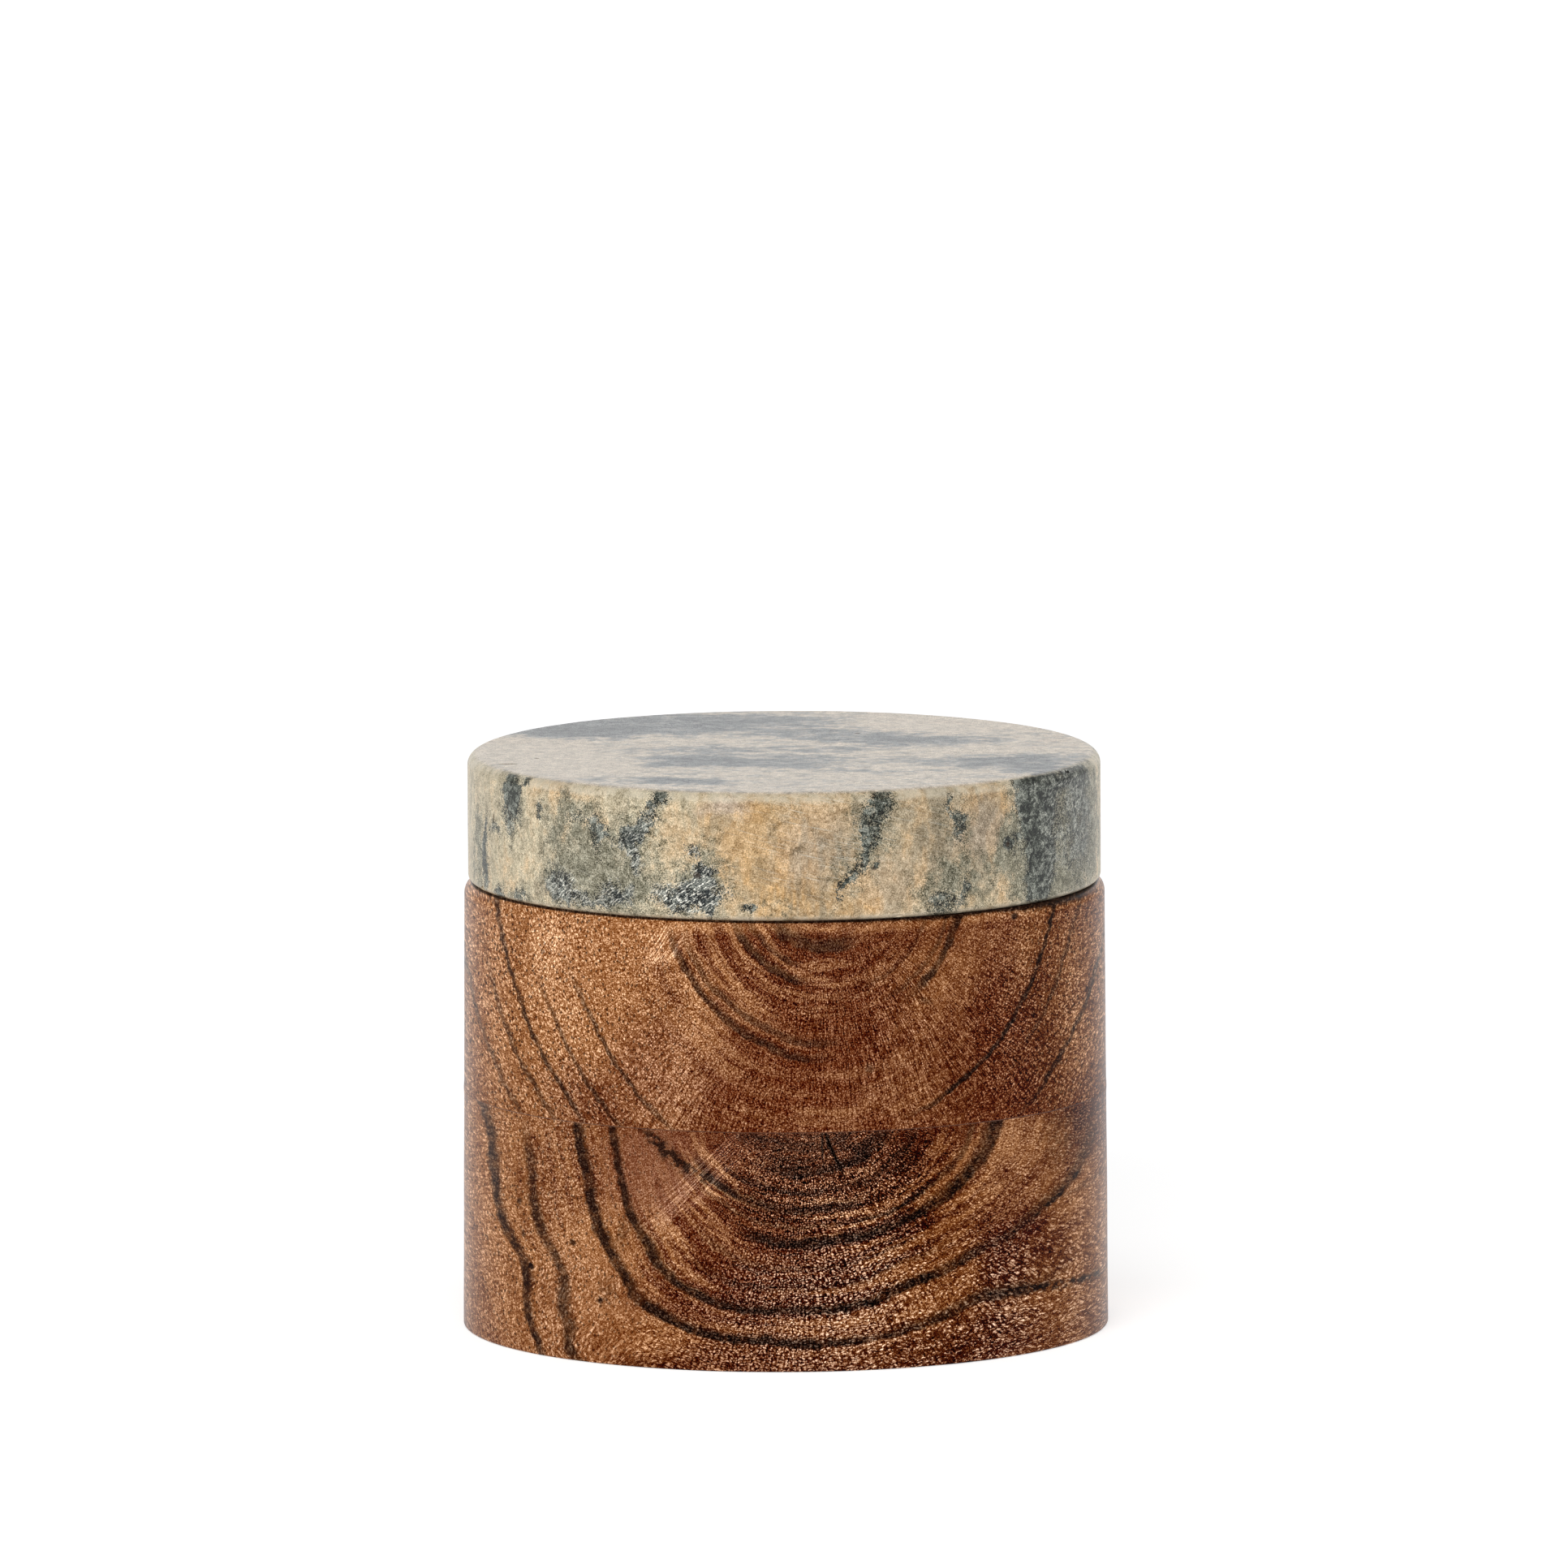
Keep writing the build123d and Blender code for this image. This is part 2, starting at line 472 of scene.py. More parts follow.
mottle = recipe.noise(fibres, 0.17, 1.0)
dots = recipe.rise(recipe.cells(counted(3.5, 95.0), 1.0, 0.8), 0.60, 0.10)
rows = recipe.rise(recipe.cells(counted(2.5, 56.0), 1.0, 0.6), 0.60, 0.10)
fine_rings = recipe.noise(counted(1.1, 2.2), 1.0, 2.5, 0.6)
blotches = recipe.noise(fibres, 4.0, 3.0, 0.6)
fan = recipe.product(given["Ray"], 230.0)
rays = recipe.noise(recipe.join(fan, along, recipe.product(distance, 0.6)), 1.0, 0.5)

banding = recipe.product(recipe.rise(fine_rings, 0.36, 0.64, -1.0, 1.0), given["Fine rings"])
tone = recipe.total([given["Tone"], banding, recipe.rise(blotches, 0.35, 0.65, -0.045, 0.045)])
base = recipe.layer(recipe.rise(tone, 0.0, 0.7), tan_wood, brown_wood)
base = recipe.layer(recipe.rise(tone, 0.7, 1.5), base, deep_wood)
base = recipe.layer(given["Red"], base, red_wood)

weave = recipe.total([
    recipe.swing(mottle, 1.1),
    recipe.swing(rays, given["Rays"]),
    recipe.swing(rows, given["Rows"], 0.42),
    recipe.swing(dots, 0.40, 0.40),
])
base = recipe.layer(recipe.product(given["Pale"], recipe.rise(weave, -0.05, 0.2)), base, chalky_wood)
base = recipe.layer(given["Dark ring"], base, ring_ink)
in_ring = recipe.calc("MULTIPLY_ADD", given["Dark ring"], -0.45, 1.0)
base = recipe.lift(base, recipe.product(weave, 0.80, given["Flecks"], in_ring))

pore_place = recipe.vector("MULTIPLY", given["Place"], (1.0, 0.05, 0.65))
pore_gap = recipe.cells(pore_place, 0.62, 1.0)
pore = recipe.product(recipe.rise(pore_gap, 0.33, 0.17), given["Pores"])
base = recipe.layer(pore, base, pore_ink)
base = recipe.lift(base, recipe.product(given["Scratches"], 0.30))

roughness = recipe.calc("MULTIPLY_ADD", mottle, 0.16, 0.26)
roughness = recipe.calc("MULTIPLY_ADD", pore, 0.2, roughness)
height = recipe.calc("MULTIPLY_ADD", pore, -0.8, recipe.product(weave, 0.6))
recipe.fill(result, {"Color": base, "Roughness": roughness, "Height": height})


def dark_rings(recipe, distance, angle, blotches, rings):
    """The board's dark rings: each fades in from the heart's side, ends more sharply on the outside,
    and fades out at its two tips, over some degrees."""
    tip = 8
    shades = []
    for ring_at, inside, outside, strength, start, end in rings:
        fade_in = recipe.rise(distance, ring_at - inside, ring_at - 0.3 * inside)
        fade_out = recipe.rise(distance, ring_at + outside, ring_at + 0.15 * outside)
        from_start = recipe.rise(angle, radians(start - tip), radians(start + tip))
        to_end = recipe.rise(angle, radians(end + tip), radians(end - tip))
        shades.append(recipe.product(fade_in, fade_out, from_start, to_end, strength))
    broken = recipe.rise(blotches, 0.32, 0.58, 0.72, 1.06)
    return recipe.product(recipe.total(shades), broken)


def patches(recipe, place, start, spots, edge=0.6, depth=1000.0):
    """Soft spots added to a starting value: across, up, half width, half height, turn, amount.
    They lie on the board's front, and go back into it as far as their depth."""
    front_face = -50.0
    value = start
    for x, z, half_width, half_height, turn, amount in spots:
        reach = (half_width, depth, half_height)
        spot = recipe.patch(place, (x, front_face, z), reach, (0.0, turn, 0.0), edge)
        value = recipe.calc("MULTIPLY_ADD", spot, amount, value)
    return value


def board_finish(name, heart, widths, upright, waver, rings, nudges, streaks, marks, stroke_turn, strokes,
                 figures, lid_shadow_line=None):
    """Oiled acacia for one board.

    Its dark rings lie round the heart, and nudges push them out or in. Streaks are blurred dark stains,
    and marks are small sharp dark spots: some are stains, and some are painted shade, in a crack or under
    the lid's edge. Strokes are scratched places. Figures set how the wood between the rings looks: each
    has a value for the whole board, and patches where it is more or less; a Tone patch may also be a
    painted highlight. The lid shadow line, if given, is a painted shadow round the rim at that height.
    """
    material, shader, recipe, place = new_finish(name)
    left_near, left_far, right = widths
    grown = recipe.effect(tree_rings, {"Place": place, "Heart": heart, "Left near": left_near,
                                       "Left far": left_far, "Right": right, "Upright": upright,
                                       "Waver": waver})
    distance = recipe.calc("ADD", grown["Distance"], patches(recipe, place, 0.0, nudges))
    x, y, z = recipe.split(place)
    front = recipe.vector("MULTIPLY", place, (1.0, 0.1, 1.0))
    blotches = recipe.noise(front, 2.6, 2.0, 0.6)
    spotty = recipe.rise(recipe.noise(front, 0.9, 2.0, 0.6), 0.38, 0.60, 0.25, 1.0)
    ragged = recipe.vector("ADD", place, recipe.stray(front, 1.2))
    darker = [
        dark_rings(recipe, distance, grown["Angle"], blotches, rings),
        recipe.product(patches(recipe, ragged, 0.0, streaks, 0.7), spotty),
        patches(recipe, ragged, 0.0, marks, 0.5, 45.0),
    ]
    if lid_shadow_line:
        # A painted shadow darkens a line round the rim's outer rounding, where the lid's edge comes down
        off_line = recipe.calc("ABSOLUTE", recipe.calc("SUBTRACT", z, lid_shadow_line))
        outside = recipe.rise(recipe.from_axis(x, y), 50.2, 50.5, 0.0, 0.9)
        darker.append(recipe.product(recipe.rise(off_line, 0.275, 0.165), outside))
    # Sanding across the grain has left short pale scratches in a few places
    scratched = recipe.turned(place, (0.0, stroke_turn, 0.0))
    scratched = recipe.noise(recipe.vector("MULTIPLY", scratched, (0.15, 0.5, 6.0)), 1.0, 1.0)
    scratched = recipe.rise(scratched, 0.48, 0.60)
    scratched = recipe.product(scratched, patches(recipe, place, 0.0, strokes, 0.6, 20.0))
    figure = recipe.effect(acacia_figure, {
        "Place": place, "Distance": distance, "Angle": grown["Angle"], "Ray": grown["Ray"],
        "Dark ring": recipe.calc("MINIMUM", recipe.total(darker), 0.95),
        "Scratches": scratched,
        **{socket: patches(recipe, place, start, spots) for socket, (start, spots) in figures.items()},
    })
    recipe.fill(shader, {
        "Base Color": figure["Color"], "Roughness": figure["Roughness"], "Specular IOR Level": 0.02,
        "Normal": recipe.relief(figure["Height"], 0.00005, 0.5),
    })
    # The oil shines only where the wood turns away from the eye
    away = recipe.step("LayerWeight", {"Blend": 0.5}).outputs["Facing"]
    recipe.fill(shader, {"Coat Weight": recipe.rise(away, 0.42, 0.90, 0.0, 0.45), "Coat Roughness": 0.35})
    return material


lower.data.materials.append(board_finish(
    "acacia_lower_board",
    heart=(3.0, 0.0, 42.0), widths=(1.59, 1.04, 1.48), upright=1.0, waver=1.6,
    rings=[
        # distance from the heart, soft inside, sharp outside, strength, from angle, to angle
        (6.0, 1.6, 0.8, 0.42, -60, 60), (9.8, 1.6, 0.7, 0.66, -25, 80),
        (12.8, 1.0, 0.6, 0.45, -45, 50), (16.0, 2.0, 0.8, 0.70, -60, 25),
        (18.6, 0.8, 0.5, 0.45, -40, 45), (18.9, 0.8, 0.5, 0.50, 20, 90),
        (21.5, 2.0, 0.7, 0.90, -22, 90), (25.4, 0.9, 0.6, 0.35, -40, 30),
        (28.6, 1.0, 0.6, 0.35, -35, 35), (32.6, 1.8, 0.7, 0.90, -90, 36),
        (32.6, 1.6, 0.6, 0.58, 36, 73), (38.3, 2.0, 0.7, 0.95, -90, 6),
        (38.3, 1.6, 0.6, 0.78, 6, 41), (46.3, 1.2, 1.2, 0.80, -80, -34),
        (51.6, 1.6, 0.7, 0.85, -90, -35),
    ],
    nudges=[
        (-36, 37, 14, 13, 0, 2.6), (-17, 11, 11, 8, 0, -1.7), (-36, 1, 12, 10, 0, -5.2),
        (-33, -1, 7, 5, 0, -3.0), (24, 15, 10, 8, 0, 1.6), (36, 21, 9, 8, 0, 1.0), (40, 9, 7, 6, 0, -0.6),
        (50, 28, 8, 8, 0, -0.4), (6, 4, 14, 8, 0, 0.5), (60, 8, 18, 12, 0, -3.5),
    ],
    streaks=[
        (-19.6, 35.8, 4.2, 1.2, 43, 0.8), (-13.2, 31.5, 5.2, 0.7, 31, 0.8), (44.0, 25.0, 9, 0.5, -38, 0.5),
        (-26.0, 22.0, 1.0, 3.0, 20, 0.5), (-29.0, 12.0, 1.5, 2.0, 10, 0.45), (45.5, 10.2, 9.0, 0.7, 3, 0.9),
        (46.5, 35.0, 4.0, 5.0, 12, 0.45), (49.0, 25.5, 5.0, 0.6, -12, 0.4), (-17.5, 34.0, 6.5, 1.1, 42, 0.5),
    ],
    marks=[
        # The first two marks are painted shade in the drying crack and a fine branch of it
        (7.7, 35.5, 4.0, 0.34, 67, 1.2), (5.9, 36.6, 2.6, 0.20, 86, 1.0), (-42.9, 24.5, 0.5, 0.7, 0, 0.8),
        (-42.3, 19.3, 0.4, 0.6, 0, 0.8), (-41.0, 14.3, 0.4, 0.6, 0, 0.8), (-29.8, 10.4, 0.5, 0.6, 0, 0.8),
        (-34.3, 19.3, 0.4, 0.5, 0, 0.8),
    ],
    stroke_turn=-45,
    strokes=[(-13.4, 31.4, 10.0, 2.6, -46, 0.85), (12.3, 13.7, 13.5, 0.3, 83, 0.9)],
    figures={
        "Tone": (0.58, [
            (-40, 20, 16, 34, 0, -0.38), (-24, 16, 9, 16, 20, -0.20), (6, 33, 20, 12, 0, 0.36),
            (-36, 31, 9, 9, 0, 0.18), (-22, 12, 5, 6, 30, 0.10), (46, 16, 8, 16, 0, -0.35),
            (18, 11, 20, 9, -10, -0.24), (10, 24, 8, 5, 0, -0.25), (33, 31, 9, 8, 0, -0.12),
            (1, 16, 12, 6, 0, 0.24), (39, 18, 7, 5, 0, 0.30), (13, 18.5, 9, 3.5, 0, 0.05),
            (26, 29, 6, 8, 0, -0.38), (12, 30, 8, 3, 0, -0.25), (24, 15, 6, 8, 0, -0.25),
            (-14, 32, 5, 6, 0, -0.25), (-21, 5, 6, 4, 0, -0.24), (-6, 30, 5, 5, 0, -0.16),
            (3, 36, 4, 3, 0, -0.14), (37, 36, 7, 4, 0, -0.22), (-46, 34, 6, 9, 0, -0.10),
            (-12, 5, 6, 4, 0, -0.14), (-7, 12, 4, 3, 0, 0.12),
        ]),
        "Red": (0.0, [(-22, 32, 7, 8, 25, 0.75), (-30, 8, 8, 10, 0, 0.2)]),
        "Pale": (0.0, [(-38, 20, 18, 34, 0, 0.2), (20, 8, 26, 12, 0, 0.6), (48, 20, 10, 30, 0, 0.2)]),
        "Fine rings": (0.08, [(4, 27, 24, 16, 0, 0.30)]),
        "Flecks": (1.0, [(-21, 33, 9, 8, 20, -0.3), (18, 8, 30, 12, 0, 0.3), (6, 34, 16, 9, 0, 0.7)]),
        "Rays": (0.35, [(10, 12, 20, 14, 0, 0.1)]),
        "Rows": (0.10, [(14, 12, 30, 16, 0, 0.35), (-20, 2, 16, 5, 0, 0.3), (10, 30, 22, 12, 0, 0.32)]),
        "Pores": (0.15, [(-38, 20, 18, 34, 0, 0.55)]),
    },
))
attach(lower, "jar")
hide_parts("lower_board")

# Upper board: a second board, bored through and glued on top, with the rim that the lid rests on.
# Its heart was above the rim, so its rings hang in wide arcs under the lid.
upper_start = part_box("upper_board")[0].z
upper_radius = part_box("upper_board")[1].x
rim_outer_rounding = 0.0020
rim_inner_rounding = 0.0008


def round_tube(name, outer, inner, low, high):
    """A short tube between two heights, left in edit mode."""
    tube = round_blank(name, outer, low, high)
    for height in (low, high):
        pick(tube, "FACE", lambda r, z: near(z, height))
        bpy.ops.mesh.inset(thickness=outer - inner)
        bpy.ops.mesh.delete(type="FACE")
    pick(tube, "EDGE", lambda r, z: r < inner + pick_slack)
    bpy.ops.mesh.bridge_edge_loops()
    return tube


upper = round_tube("upper_board_turned", upper_radius, mouth_radius, upper_start, rim_height)
pick(upper, "EDGE", lambda r, z: near(z, rim_height) and near(r, upper_radius))
bpy.ops.transform.resize(value=(rim_radius / upper_radius, rim_radius / upper_radius, 1.0))
ease_ring(upper, rim_radius, rim_height, rim_outer_rounding, 8)
ease_ring(upper, mouth_radius, rim_height, rim_inner_rounding, 4)
ring_walls(upper, upper_start, rim_height - rim_outer_rounding)
hand_finish(upper, turning_waver, waver_length, upper_start)

upper.data.materials.append(board_finish(
    "acacia_upper_board",
    heart=(6.5, 0.0, 82.6), widths=(1.0, 1.0, 1.0), upright=0.843, waver=1.6,
    rings=[
        (12.0, 2.2, 0.8, 0.70, -42, 22), (14.6, 0.9, 0.5, 0.55, -58, -18),
        (16.8, 1.3, 0.6, 0.75, -60, -12), (18.6, 0.8, 0.4, 0.35, 20, 70),
        (21.6, 0.8, 0.4, 0.45, 30, 75), (23.3, 1.3, 0.6, 0.85, 38, 80),
        (24.9, 1.2, 0.5, 0.55, -62, 4), (27.0, 1.3, 0.5, 0.75, -66, -2),
        (38.0, 0.8, 0.35, 0.92, 24, 84), (42.0, 0.7, 0.4, 0.55, 50, 78),
        (44.2, 0.8, 0.4, 0.70, -66, -33), (48.2, 0.8, 0.35, 0.80, 42, 74),
        (49.6, 0.8, 0.4, 0.70, -66, -40), (53.8, 0.8, 0.4, 0.80, -90, -45),
        (57.4, 0.8, 0.4, 0.64, -72, -47), (61.4, 0.8, 0.4, 0.62, -84, -46),
    ],
    nudges=[],
    streaks=[],
    marks=[
        # The first two marks are painted shadow: the lid's edge shades the rim's rounding, most on the right
        (30, 72.8, 22, 0.45, 0, 0.8), (45, 72.7, 9, 0.90, 0, 1.0), (37.0, 71.5, 0.6, 0.5, 0, 0.9),
        (13.5, 49.0, 0.7, 0.6, 0, 0.5), (22.5, 59.5, 1.2, 0.7, 20, 0.4),
    ],
    stroke_turn=-58,
    strokes=[
        (-38.8, 66.5, 4.5, 2.8, -63, 1.3), (-40.0, 60.0, 4.5, 2.2, -63, 0.9),
        (-19.2, 68.8, 3.4, 2.4, -41, 1.2),
    ],
    figures={
        "Tone": (0.56, [
            (-36, 62, 18, 26, 0, -0.60), (-20, 62, 12, 16, 20, -0.26), (-34, 44, 12, 6, 0, 0.30),
            (-20, 44, 6, 6, 0, -0.15), (2, 54, 12, 10, 0, 0.10), (36, 50, 10, 12, 0, 0.12),
            (26, 62, 10, 8, 0, -0.14), (10, 44, 8, 5, 0, -0.1), (-22, 59, 6, 10, 15, 0.36),
            (43, 60, 10, 16, 0, -0.18), (50, 58, 5, 16, 0, -0.12), (25, 47, 8, 8, 0, -0.12),
            # The wide patch at height 72.4 is a painted highlight on the rim's rounding, where light from
            # above falls
            (0, 72.4, 60, 1.3, 0, -0.24), (25, 63, 5, 6, 0, -0.12), (34, 58, 4, 7, 0, 0.14),
            (-6, 53, 6, 7, 0, -0.08), (-45, 43, 7, 4, 0, -0.16), (-14, 70, 5, 3, 0, 0.16),
            (-38, 67, 6, 5, 0, 0.06), (46, 45, 5, 8, 0, -0.12), (2, 61, 8, 5, 0, -0.08),
        ]),
        "Red": (0.0, [(-20, 50, 8, 6, 30, 0.4), (-26, 44, 10, 6, 0, 0.3)]),
        "Pale": (0.0, [(-36, 60, 18, 30, 0, 0.2)]),
        "Fine rings": (0.05, [(-2, 66, 16, 8, 0, 0.16), (0, 48, 18, 10, 0, 0.06)]),
        "Flecks": (1.0, [(-34, 60, 20, 18, 0, 0.3), (44, 56, 12, 16, 0, 0.35)]),
        "Rays": (0.30, [(20, 54, 18, 15, 0, 0.60), (-14, 44, 12, 8, 0, 0.40)]),
        "Rows": (0.10, [(4, 64, 18, 9, 0, 0.25)]),
        "Pores": (0.15, [(-38, 58, 22, 30, 0, 0.65), (46, 60, 8, 30, 0, 0.6)]),
    },
    # A painted shadow line round the rim, under the lid's edge
    lid_shadow_line=72.82,
))
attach(upper, "jar")
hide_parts("upper_board")

# Glue film: the thin brown line of wood glue between the two boards. It is turned flush with them, so
# it shows as no more than a fine line where the two boards' figures meet.
glue = round_tube("glue_film", joint_radius, mouth_radius, joint_height, upper_start)
bpy.ops.object.mode_set(mode="OBJECT")
bpy.ops.object.shade_smooth_by_angle(angle=smooth_below)

material, shader, recipe, place = new_finish("dried_wood_glue")
cloudy = recipe.noise(place, 2.2, 3.0, 0.65)
wiped = recipe.noise(place, 0.5, 2.0, 0.6)
pale_side = patches(recipe, place, 0.0, [(-44, 39, 24, 30, 0, 1.0)])
film = recipe.layer(pale_side, colour(88, 50, 31), colour(122, 82, 56))
film = recipe.layer(recipe.rise(cloudy, 0.45, 0.7), film, colour(66, 36, 22))
recipe.fill(shader, {
    "Base Color": film, "Roughness": recipe.rise(wiped, 0.3, 0.7, 0.35, 0.55),
    "Normal": recipe.relief(wiped, 0.00003, 0.4), "Specular IOR Level": 0.25,
})
glue.data.materials.append(material)
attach(glue, "jar")
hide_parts("glue_line")

# Lid stone: a thick disc cut from a mottled granite-like stone and honed. Cream and tan grains carry
# grey-green clouds and dark veins; the edges are eased and worn pale, with a few pits and chips.
lid_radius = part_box("lid_stone")[1].x
lid_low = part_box("lid_stone")[0].z
lid_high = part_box("lid_stone")[1].z
lid_top_rounding = 0.0020
lid_under_rounding = 0.0010
grinding_waver = 0.00012
grinding_waver_length = 0.022

stone = round_blank("lid_stone_honed", lid_radius, lid_low, lid_high)
ease_ring(stone, lid_radius, lid_high, lid_top_rounding, 8)
ease_ring(stone, lid_radius, lid_low, lid_under_rounding, 4)
ring_cap(stone, lid_high, lid_radius - lid_top_rounding)
ring_cap(stone, lid_low, lid_radius - lid_under_rounding)
ring_walls(stone, lid_low + lid_under_rounding, lid_high - lid_top_rounding)


def on_edge(around, height, depth=0.0):
    """A place on the lid's side, in metres, at an angle round from the front."""
    reach = lid_radius - depth
    return (reach * sin(radians(around)), -reach * cos(radians(around)), height)


top_pits = [
    ((-0.0446, -0.0148, 0.0937), (0.0017, 0.0005, 0.0003), (0, 0, 4)),
    ((-0.0400, -0.0081, 0.0937), (0.0004, 0.0004, 0.0003), (0, 0, 0)),
    ((0.0120, 0.0210, 0.0937), (0.0005, 0.0004, 0.0002), (0, 0, 0)),
]
edge_chips = [
    (on_edge(-53.0, 0.0934, 0.0002), (0.0010, 0.0006, 0.0006), (0, 20, -53)),
    (on_edge(-21.0, 0.0935, 0.0005), (0.0008, 0.0005, 0.0005), (0, 0, -21)),
    (on_edge(-2.0, 0.0933, 0.0004), (0.0005, 0.0004, 0.0004), (0, 0, -2)),
    (on_edge(38.0, 0.0935, 0.0005), (0.0011, 0.0005, 0.0005), (0, -10, 38)),
    (on_edge(64.0, 0.0933, 0.0004), (0.0009, 0.0006, 0.0005), (0, 0, 64)),
    (on_edge(150.0, 0.0934, 0.0004), (0.0010, 0.0006, 0.0006), (0, 0, 150)),
    (on_edge(-72.0, 0.0733, 0.0002), (0.0009, 0.0006, 0.0006), (0, 0, -72)),
    (on_edge(-48.0, 0.0732, 0.0001), (0.0007, 0.0004, 0.0004), (0, 0, -48)),
    (on_edge(21.0, 0.0732, 0.0001), (0.0008, 0.0004, 0.0004), (0, 0, 21)),
    (on_edge(-112.0, 0.0732, 0.0001), (0.0012, 0.0006, 0.0005), (0, 0, -112)),
]
side_pits = [
    (on_edge(-66.0, 0.0856), (0.0003, 0.0003, 0.0008), (0, 15, -66)),
    (on_edge(-15.8, 0.0802), (0.0006, 0.0003, 0.0005), (0, 30, -15.8)),
    (on_edge(16.3, 0.0812), (0.0004, 0.0003, 0.0003), (0, 0, 16.3)),
    (on_edge(44.3, 0.0833), (0.0004, 0.0003, 0.0004), (0, 0, 44.3)),
    (on_edge(100.0, 0.0800), (0.0005, 0.0003, 0.0006), (0, 20, 100)),
]
hand_finish(stone, grinding_waver, grinding_waver_length, lid_low, top_pits + edge_chips + side_pits)
spot_edge = 0.7


def side_spots(recipe, unrolled, spots):
    """Patches on the side: how far across the front, height, half width, half height, lean, amount."""
    value = 0.0
    for across, height, half_width, half_height, lean, amount in spots:
        middle = (asin(across / 1000 / lid_radius) * lid_radius * 1000, 0.0, height)
        spot = recipe.patch(unrolled, middle, (half_width, 5.0, half_height), (0.0, lean, 0.0), spot_edge)
        value = recipe.calc("MULTIPLY_ADD", spot, amount, value)
    return value


def top_spots(recipe, place, spots):
    """Patches on the flat top: across, back, half width, half depth, turn, amount."""
    value = 0.0
    for across, back, half_width, half_depth, turn, amount in spots:
        middle = (across, back, lid_high * 1000)
        spot = recipe.patch(place, middle, (half_width, half_depth, 3.0), (0.0, 0.0, turn), spot_edge)
        value = recipe.calc("MULTIPLY_ADD", spot, amount, value)
    return value


cream_stone = colour(200, 187, 158)
tan_stone = colour(188, 160, 122)
ochre_stone = colour(190, 148, 92)
dusky_stone = colour(142, 128, 104)
pinkish_stone = colour(188, 168, 148)
top_cream = colour(216, 203, 186)
top_grey = colour(126, 130, 132)
cloud_stone = colour(128, 125, 106)
dark_green = colour(42, 48, 40)
dark_blue = colour(40, 46, 50)
dark_lift = colour(122, 126, 116)
crystal_white = colour(220, 218, 206)
worn_edge = colour(206, 197, 176)
pit_shade_colour = colour(66, 50, 38)

material, shader, recipe, place = new_finish("honed_mottled_stone")
x, y, z = recipe.split(place)
# The borders of every cloud and vein wander, and crumble into grains
wander = recipe.scaled(recipe.stray(place, 6.0, 2.0, 0.55), 6.0)
crumble = recipe.scaled(recipe.stray(place, 1.0, 2.0, 0.6), 3.0)
astray = recipe.vector("ADD", wander, crumble)
drifting = recipe.vector("ADD", place, astray)
# The side's own place: how far round from the front, how deep, and how high
around = recipe.product(recipe.angle_round(x, y), lid_radius * 1000)
depth = recipe.calc("SUBTRACT", recipe.from_axis(x, y), lid_radius * 1000)
unrolled = recipe.join(around, depth, z)
side = recipe.vector("ADD", unrolled, astray)
speck = recipe.noise(place, 0.20, 2.0, 0.65)
grain = recipe.split(recipe.cells(place, 0.62, out="Color"))[0]
streak = recipe.noise(recipe.vector("MULTIPLY", place, (1.0, 1.0, 0.35)), 3.6, 3.0, 0.6)
cloud = recipe.noise(place, 8.0, 3.0, 0.6)
cloud_small = recipe.noise(place, 2.4, 3.0, 0.6)
on_top = recipe.rise(z, 93.25, 93.62)
at_back = recipe.rise(y, -8.0, 14.0)

# Cream, tan and ochre body of the stone
tan_part = recipe.total([
    side_spots(recipe, side, [
        (5, 84, 18, 14, 0, 0.95), (31, 85, 10, 12, 0, 0.85), (-12, 88, 8, 6, 0, 0.35),
        (-38, 92, 5, 3, 0, 0.4), (-48, 82, 4, 9, 0, 0.2), (-33, 83, 7, 9, 0, 0.35),
    ]),
    recipe.rise(streak, 0.40, 0.62, -0.30, 0.30),
    recipe.rise(cloud_small, 0.35, 0.65, -0.15, 0.15),
    recipe.product(recipe.rise(cloud, 0.54, 0.40), at_back, 1.1),
])
body = recipe.layer(tan_part, cream_stone, tan_stone)
ochre_part = recipe.total([
    side_spots(recipe, side, [
        (-36, 92.4, 4, 1.6, 0, 0.5), (-2, 91, 4, 2.5, 0, 0.5), (20.7, 92.6, 2.5, 1.2, 0, 0.7),
        (34, 91.5, 3.5, 2.5, 0, 0.5), (44.4, 90.5, 0.9, 3.4, 0, 0.8), (12, 74.8, 3, 1.4, 0, 0.7),
        (3, 83, 5, 7, 0, 0.40), (0, 77, 6, 5, 0, 0.50), (18, 78, 5, 4, 0, 0.3), (-6, 84, 5, 7, 0, 0.35),
        (33, 90, 3, 4, 0, 0.3),
    ]),
    recipe.rise(cloud_small, 0.56, 0.70, 0.0, 0.30),
])
body = recipe.layer(ochre_part, body, ochre_stone)
dusk_part = recipe.total([
    side_spots(recipe, side, [
        (10, 84, 4.5, 5, 0, 0.65), (26, 84, 6, 11, 0, 0.70), (34, 83, 5, 6, 0, 0.5),
        (17, 90, 5, 4, 0, 0.35), (-22, 88, 5, 4, 0, 0.15), (-30, 80, 8, 6, 0, 0.5),
        (4, 74.5, 14, 1.6, 0, 0.25), (3, 80, 4, 7, 0, 0.30), (-38, 76, 3, 2, 0, 0.5),
        (10, 88, 3.5, 4, 0, 0.3), (33, 89, 4, 4, 0, 0.25), (2, 87, 3, 3, 0, 0.2),
    ]),
    recipe.rise(streak, 0.56, 0.42, -0.25, 0.32),
])
body = recipe.layer(dusk_part, body, dusky_stone)
pink_part = side_spots(recipe, side, [
    (-9, 91.6, 4, 1.8, 0, 0.8), (4, 85, 5, 6, 20, 0.3), (32, 86, 5, 4, 0, 0.35), (-27, 79, 4, 3, 0, 0.3),
    (17, 78, 5, 5, 0, 0.25),
])
body = recipe.layer(pink_part, body, pinkish_stone)
body = recipe.layer(recipe.product(on_top, 0.85), body, top_cream)

